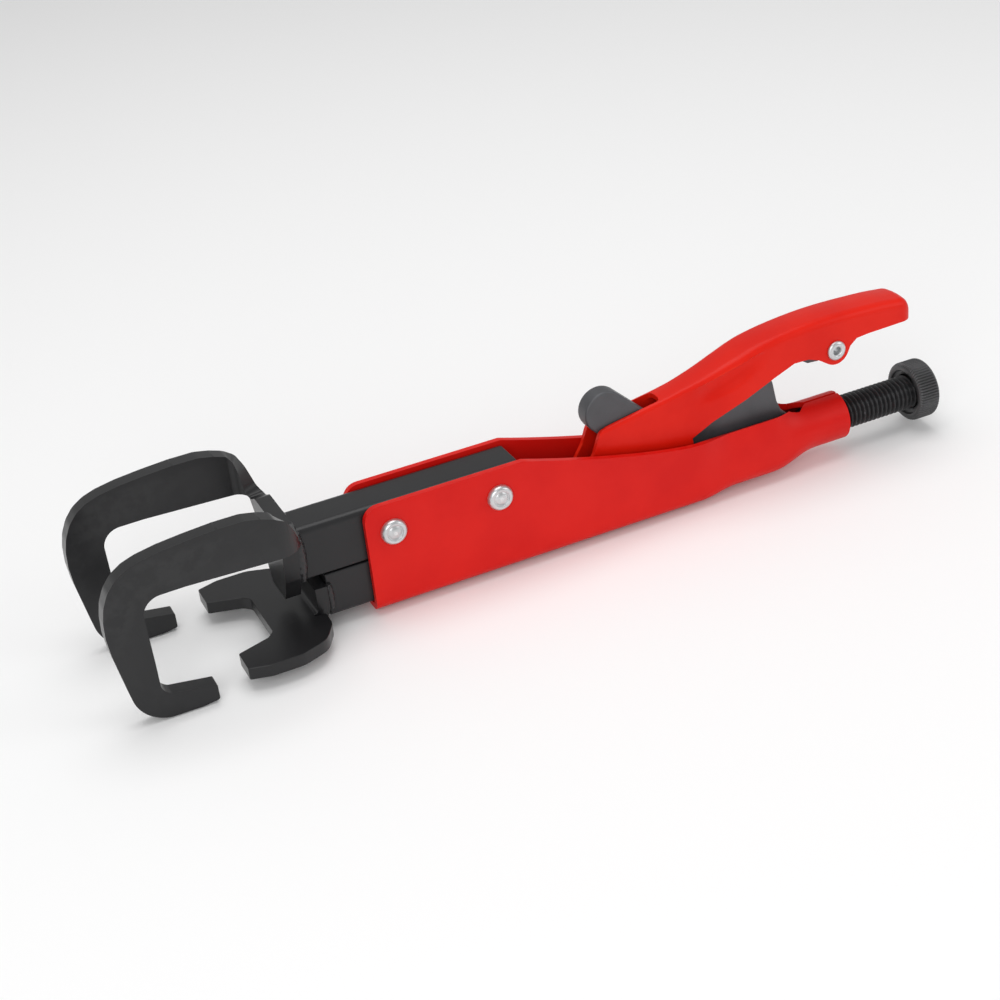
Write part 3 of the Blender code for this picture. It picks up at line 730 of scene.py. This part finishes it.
def fork_wall():
    """Side view of the bend and the upturned wall at the fork's rear."""
    rear = FORK_HIGH.x
    sheet = FORK_TOP - FORK_LOW.z
    inner = 1.4
    centre = (rear - sheet - inner, FORK_TOP + inner)
    outline = [(rear, FORK_HIGH.z), (rear - sheet, FORK_HIGH.z)]
    outline += arc(centre, inner, 0, -90, 6)
    front = -27.0
    outline += [(front, FORK_TOP), (front, FORK_LOW.z)]
    outline += arc(centre, sheet + inner, -90, 0, 12)
    return outline


def make_fork():
    """Two-pronged jaw cut from plate, with its rear bent up against the slide bar's end."""
    flat = prism(rounded(fork_plan(), 1.0, 7), FORK_LOW.z, FORK_TOP, "Z")
    bm = combine(flat, prism(fork_wall(), -FORK_WALL_HALF, FORK_WALL_HALF, "Y"), "UNION")
    piece("fork_jaw_steel", bm, jaw_black(), "slider", ["fork_jaw"], 1.0, 4)


def make_fork_welds():
    """Beads between the rear of the fork's wall and the sides of the slide bar."""
    x = SLIDE_LOW.x + 0.5
    for side, name in ((-1, "fork_weld_near"), (1, "fork_weld_far")):
        y = side * (SLIDE_HIGH.y + 0.3)
        bead = rod(straight((x, y, -5.6), (x, y, 3.2), 50), ripples(1.4, 4), 20)
        piece(name + "_bead", bead, weld_black(), "slider", [name])


def pin_profile(half, radius):
    """A pin of a half length, with rounded ends."""
    edge = 0.5
    cut = 0.15
    end = [(half - edge, radius), (half - cut, radius - cut), (half, radius - edge), (half, 0.0)]
    return [(-along, r) for along, r in reversed(end)] + end


def make_pins():
    """The handle's pivot on the slide bar's tongue, and the link's pivot in the handle."""
    pins = (("handle_pivot_pin", PIVOT_A, "slider"), ("link_pivot_pin", PIVOT_B, "handle"))
    for name, pivot, body in pins:
        half = drawn_box(name)[1].y
        bm = turned(pin_profile(half, PIN_R), 48, "Y", (pivot[0], 0.0, pivot[1]))
        piece(name + "_turned", bm, pin_steel(), body, [name])


# --- Handle and linkage ---

HANDLE_TOP = [(60.0, 20.0), (85.6, 24.6), (100.0, 27.1), (109.0, 28.6), (117.0, 30.4), (124.0, 32.4),
              (132.0, 35.1), (142.0, 38.2), (156.0, 40.2), (170.0, 40.9), (188.0, 40.3), (196.5, 39.5),
              (204.0, 38.4)]


def curve_height(points, x):
    """Height at x on a smooth curve through the points."""
    for i in range(len(points) - 1):
        if points[i][0] <= x <= points[i + 1][0]:
            break
    before = points[max(i - 1, 0)]
    start = points[i]
    end = points[i + 1]
    after = points[min(i + 2, len(points) - 1)]
    width = end[0] - start[0]
    slope_in = (end[1] - before[1]) / (end[0] - before[0]) * width
    slope_out = (after[1] - start[1]) / (after[0] - start[0]) * width
    t = (x - start[0]) / width
    return ((2 * t**3 - 3 * t**2 + 1) * start[1] + (t**3 - 2 * t**2 + t) * slope_in
            + (-2 * t**3 + 3 * t**2) * end[1] + (t**3 - t**2) * slope_out)


def pressed_depth(x, z):
    """How far the handle's side walls are pressed in, in a long shallow dish that follows the top edge."""
    centre_x = 131.0
    centre_z = 30.2
    half_length = 15.0
    half_width = 5.4
    deepest = 1.9
    tilt = math.radians(22)
    along = (x - centre_x) * math.cos(tilt) + (z - centre_z) * math.sin(tilt)
    across = -(x - centre_x) * math.sin(tilt) + (z - centre_z) * math.cos(tilt)
    reach = (along / half_length) ** 2 + (across / half_width) ** 2
    return deepest * (1.0 - reach) ** 2 * (1.0 + reach) if reach < 1.0 else 0.0


def handle_loop(x, inset):
    """Section of the handle's outer form, or of the hollow inside it when inset, as a closed loop."""
    rear = HANDLE_REAR - inset
    over = max(0.0, x - (rear - HANDLE_END_ROUND)) / HANDLE_END_ROUND
    shrink = HANDLE_END_ROUND * (1.0 - math.sqrt(max(0.0, 1.0 - over**2)))
    taper = min(max((x - HANDLE_TAPER[0]) / (HANDLE_TAPER[1] - HANDLE_TAPER[0]), 0.0), 1.0)
    half = HANDLE_FRONT_HALF + (HANDLE_HALF - HANDLE_FRONT_HALF) * taper - inset - shrink * 0.75
    top = curve_height(HANDLE_TOP, x) - inset - shrink * 0.8
    corner = min(1.6 + 1.3 * taper - inset * 0.5, half * 0.9)
    crown = 0.3
    rows = [corner + 0.8 * k for k in range(20)] + [26.0, 40.0]
    lowest = -21.0 - inset
    side = []
    for depth in reversed(rows):
        z = max(top - depth, lowest - depth * 0.01)
        side.append((half - pressed_depth(x, z), z))
    side += arc((half - corner, top - corner), corner, 0, 90, 7)[1:]
    side.append(((half - corner) * 0.5, top + crown * 0.75))
    side.append((0.0, top + crown))
    return [(x, y, z) for y, z in side] + [(x, -y, z) for y, z in reversed(side[:-1])]


def handle_outline():
    """The handle seen from the side: its ears round the pivots, its lower edge and its front edge."""
    points = [(210.0, 60.0), (210.0, 32.0), (200.4, 31.4), (184.0, 31.0), (179.5, 30.6), (177.0, 28.6)]
    points += arc(PIVOT_R, 5.2, -25, -125, 12)
    points += [(164.5, 26.7), (160.5, 28.2), (155.0, 28.3), (147.0, 25.2), (123.8, 15.6), (116.6, 11.6)]
    points += arc(PIVOT_B, 7.0, 40, -88, 16)
    points += arc(PIVOT_A, 7.3, -90, -200, 16)
    points += [(76.0, 9.5), (80.8, 17.0), (82.5, 21.6), (83.4, 23.4), (84.6, 24.2), (86.0, 24.5)]
    points += [(87.0, 60.0)]
    return points


def make_handle():
    """Pressed channel lever, open below, whose front stands on two ears between the body's walls."""
    round_start = HANDLE_REAR - HANDLE_END_ROUND
    stations = [66.0 + 2.0 * k for k in range(65)]
    stations = [x for x in stations if x < round_start - 0.5]
    ends = [round_start + HANDLE_END_ROUND * math.sin(math.radians(a)) for a in range(0, 81, 8)]
    outer = skin([handle_loop(x, 0.0) for x in stations + ends + [HANDLE_REAR]])
    inner_stations = [x for x in stations if x < round_start - HANDLE_SHEET - 0.5]
    inner_ends = [x - HANDLE_SHEET for x in ends]
    inner = skin([handle_loop(x, HANDLE_SHEET) for x in [64.0] + inner_stations + inner_ends])
    bm = combine(outer, inner)
    bm = combine(bm, prism(handle_outline(), -12.0, 12.0, "Y"), "INTERSECT")
    # The front is open above, between the two walls
    half = HANDLE_FRONT_HALF - HANDLE_SHEET
    plan = [(60.0, -half, 0.0), (WEB_START, -half, 1.8), (WEB_START, half, 1.8), (60.0, half, 0.0)]
    bm = combine(bm, prism(rounded(plan, 0.0, 6), 5.0, 60.0, "Z"))
    far = 14.0
    radius = 2.5
    hole = [(-far, 0.0), (-far, radius), (far, radius), (far, 0.0)]
    bm = combine(bm, turned(hole, 32, "Y", (PIVOT_R[0], 0.0, PIVOT_R[1])))
    piece("handle_lever_skin", bm, handle_paint(), "handle", ["handle_lever"], 0.35, 2)


def make_link():
    """Thick plate link: a nose by the screw's tip, an eye on pivot B and a round head in front."""
    head = (87.0, 29.3)
    nose = (152.6, 3.0)
    outline = arc(head, 7.2, 47, 222, 24)
    outline += [(96.0, 10.0)]
    outline += arc(PIVOT_B, 5.6, 200, 290, 10)
    outline += [(125.0, -3.6), (140.0, -3.0)]
    outline += arc(nose, 5.0, -100, 52, 16)
    outline += [(152.2, 10.2), (150.6, 14.0), (149.3, 21.0), (147.9, 25.6), (147.2, 26.7), (145.8, 27.0)]
    outline += [(128.0, 21.0), (113.0, 14.4)]
    bm = prism(outline, -LINK_HALF, LINK_HALF, "Y")
    piece("toggle_link_plate", bm, phosphate_grey(), "link", ["toggle_link"], 0.7, 4)


def make_release_rivet():
    """Tubular rivet that the release lever turns on, rolled over at both ends round a deep socket."""
    half = HANDLE_HALF + HEAD_LIFT
    end = [(half, 2.2), (half, 3.3), (half + 0.15, 3.4), (half + 0.5, 3.4), (half + 0.85, 3.15)]
    end += [(half + 1.1, 2.7), (half + 1.2, 2.2), (half + 1.12, 1.75), (half + 0.8, 1.45)]
    end += [(half - 0.4, 1.3), (half - 1.4, 1.25), (half - 1.4, 0.0)]
    profile = [(-along, r) for along, r in reversed(end)] + end
    bm = turned(profile, 56, "Y", (PIVOT_R[0], 0.0, PIVOT_R[1]))
    piece("release_rivet_zinc", bm, bright_zinc(), "handle", ["release_rivet"])


def make_release_lever():
    """Bent lever in the rear of the handle, whose nose shows below the handle's edge."""
    half = 2.2
    outline = [(145.2, 30.2), (146.8, 29.4), (156.0, 29.6), (160.0, 26.2), (163.4, 23.9), (167.4, 23.6)]
    outline += arc(PIVOT_R, 4.6, 250, 330, 9)
    outline += [(178.0, 30.8), (186.0, 31.8), (196.6, 32.0), (197.6, 33.2), (196.8, 34.4)]
    outline += [(186.0, 34.6), (176.0, 34.0), (166.0, 33.6), (150.0, 33.0), (146.0, 32.2)]
    bm = prism(outline, -half, half, "Y")
    piece("release_lever_plate", bm, phosphate_grey(), "release", ["release_lever"], 0.45, 3)


def make_release_spring():
    """Torsion spring round the release rivet, from the handle's web to the lever."""
    radius = 3.3
    wire = 0.4
    turns = 2.0
    steps = 64
    points = [(182.0, 4.2, 36.8), (177.5, 3.9, 33.6)]
    for i in range(steps + 1):
        angle = math.radians(35) + math.tau * turns * i / steps
        y = 3.2 + 1.6 * i / steps
        points.append((PIVOT_R[0] + radius * math.cos(angle), y, PIVOT_R[1] + radius * math.sin(angle)))
    points += [(168.5, 4.8, 35.2), (163.5, 4.4, 37.6)]
    bm = rod(points, wire)
    piece("release_spring_coil", bm, spring_wire(), "handle", ["release_spring"])


def make_return_spring():
    """Tension spring on the body's floor. It stretches between the slide bar and the post."""
    low, high = drawn_box("return_spring")
    turns = 10
    steps = turns * 28
    front = low.x + 1.2
    rear = high.x - 2.2
    z = (low.z + high.z) / 2
    wire = 0.35
    coil = (high.z - low.z) / 2 - wire
    points = [(front - 1.0, 0.0, z), (front - 0.4, coil * 0.6, z)]
    for i in range(steps + 1):
        angle = math.tau * turns * i / steps
        x = front + (rear - front) * i / steps
        points.append((x, coil * math.cos(angle), z + coil * math.sin(angle)))
    points += [(rear + 0.5, coil * 0.6, z), (rear + 1.6, 0.0, z)]
    bm = rod(points, wire)
    spring = piece("return_spring_coil", bm, spring_wire(), None, ["return_spring"])
    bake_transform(spring)


# --- Adjusting screw ---


def thread_radius(along, radius, angle):
    """Radius of the thread at a place on the screw: a flat crest and root with sloping flanks."""
    share = (along / THREAD_PITCH - angle / math.tau) % 1.0
    ramp_up = min(max((abs(share - 0.5) - 0.09) / 0.31, 0.0), 1.0)
    fade = smoothstep(SCREW_TIP + 3.4, SCREW_TIP + 6.0, along)
    return radius - THREAD_DEPTH * ramp_up * fade


def make_screw():
    """Threaded rod with a plain tapered tip, from the link's nose into the knob."""
    rows = 12
    start = SCREW_TIP + 4.6
    end = KNOB_FRONT + 1.4
    count = int((end - start) / THREAD_PITCH * rows)
    profile = [(SCREW_TIP, 0.0), (SCREW_TIP + 0.12, 1.2), (SCREW_TIP + 0.5, 2.2), (SCREW_TIP + 1.0, 3.1)]
    profile += [(SCREW_TIP + 1.8, 4.0), (SCREW_TIP + 3.0, 4.8), (SCREW_TIP + 3.8, 5.4)]
    profile += [(start + (end - start) * k / count, SCREW_R) for k in range(count + 1)]
    profile += [(end, 0.0)]
    bm = turned(profile, 96, "X", (0.0, 0.0, 0.0), thread_radius)
    piece("adjusting_screw_thread", bm, screw_black(), "screw", ["adjusting_screw"])


def knurl_radius(along, radius, angle):
    """Fine straight knurl on the knob's rim, which fades at the rim's edges."""
    fade = smoothstep(KNOB_R - 0.9, KNOB_R - 0.2, radius)
    wave = 0.5 + 0.5 * math.cos(KNURL_GROOVES * angle)
    return radius - KNURL_DEPTH * fade * (1.0 - wave**0.7)


def make_knob():
    """Round knob with a knurled rim, and a recess round the screw in its front face."""
    front = KNOB_FRONT
    rear = KNOB_REAR
    bore = SCREW_R + GAP
    profile = [(front + 5.6, 0.0), (front + 5.6, bore), (front + 1.6, bore), (front + 1.3, bore + 0.4)]
    profile += [(front + 1.2, bore + 1.2), (front + 0.9, bore + 1.5), (front + 0.15, bore + 1.7)]
    profile += [(front, bore + 2.0), (front, KNOB_R - 1.3), (front + 0.15, KNOB_R - 0.9)]
    profile += [(front + 0.55, KNOB_R - 0.35), (front + 1.0, KNOB_R - 0.05), (front + 1.3, KNOB_R)]
    profile += [(front + 3.0, KNOB_R), (rear - 3.0, KNOB_R), (rear - 1.3, KNOB_R)]
    profile += [(rear - 1.0, KNOB_R - 0.05), (rear - 0.55, KNOB_R - 0.35), (rear - 0.15, KNOB_R - 0.9)]
    profile += [(rear, KNOB_R - 1.4), (rear, 4.5), (rear - 0.2, 4.0), (rear - 0.2, 0.0)]
    bm = turned(profile, 512, "X", (0.0, 0.0, 0.0), knurl_radius)
    piece("screw_knob_knurled", bm, knob_black(), "knob", ["screw_knob"])


# --- Studio ---


def make_floor():
    """A plain pale floor just under the clamp."""
    size = 3.0
    corners = [(-size, -size, 0), (size, -size, 0), (size, size, 0), (-size, size, 0)]
    mesh = bpy.data.meshes.new("floor")
    mesh.from_pydata(corners, [], [(0, 1, 2, 3)])
    floor = bpy.data.objects.new("floor", mesh)
    floor.location.z = cad_box[0].z - 0.0005
    bpy.context.scene.collection.objects.link(floor)
    mat = bpy.data.materials.new("floor_white")
    mat.use_nodes = True
    shader = mat.node_tree.nodes["Principled BSDF"]
    shader.inputs["Base Color"].default_value = (0.93, 0.93, 0.93, 1.0)
    shader.inputs["Roughness"].default_value = 0.9
    mesh.materials.append(mat)


def area_light(name, place, size, watts):
    """A round soft light, aimed at the clamp."""
    target = (0.0, 0.0, 0.01)
    data = bpy.data.lights.new(name, "AREA")
    data.shape = "DISK"
    data.size = size
    data.energy = watts
    light = bpy.data.objects.new(name, data)
    light.location = place
    light.rotation_mode = "QUATERNION"
    light.rotation_quaternion = (Vector(target) - Vector(place)).to_track_quat("-Z", "Y")
    bpy.context.scene.collection.objects.link(light)


def make_lights():
    """Three soft lights and an even white surround."""
    area_light("overhead", (0.0, 0.1, 1.1), size=1.0, watts=5.5)
    area_light("near_left", (-0.6, -0.9, 0.55), size=0.8, watts=4.5)
    area_light("near_right", (0.8, -0.6, 0.45), size=0.6, watts=1.5)
    world = bpy.data.worlds.new("studio")
    world.use_nodes = True
    background = world.node_tree.nodes["Background"]
    background.inputs["Color"].default_value = (1.0, 1.0, 1.0, 1.0)
    background.inputs["Strength"].default_value = 0.5
    bpy.context.scene.world = world
    bpy.context.scene.view_settings.view_transform = "Standard"


def make_camera():
    """A camera in front of the clamp, above it and to its near side."""
    eye = at(-141.7, -476.2, 302.6)
    target = at(54.1, 13.7, 0.0)
    roll = math.radians(-6.54)
    data = bpy.data.cameras.new("camera")
    data.sensor_width = 36.0
    data.lens = 66.66
    data.clip_start = 0.01
    camera = bpy.data.objects.new("camera", data)
    camera.location = eye
    camera.rotation_mode = "QUATERNION"
    camera.rotation_quaternion = (target - eye).to_track_quat("-Z", "Y") @ Quaternion((0.0, 0.0, 1.0), roll)
    bpy.context.scene.collection.objects.link(camera)
    bpy.context.scene.camera = camera


make_camera()
make_lights()
make_floor()
make_body()
make_fixed_bar()
make_hook_bracket()
make_bracket_welds()
make_body_rivets()
make_spring_post()
make_slide_bar()
make_fork()
make_fork_welds()
make_pins()
make_handle()
make_link()
make_release_rivet()
make_release_lever()
make_release_spring()
make_return_spring()
make_screw()
make_knob()
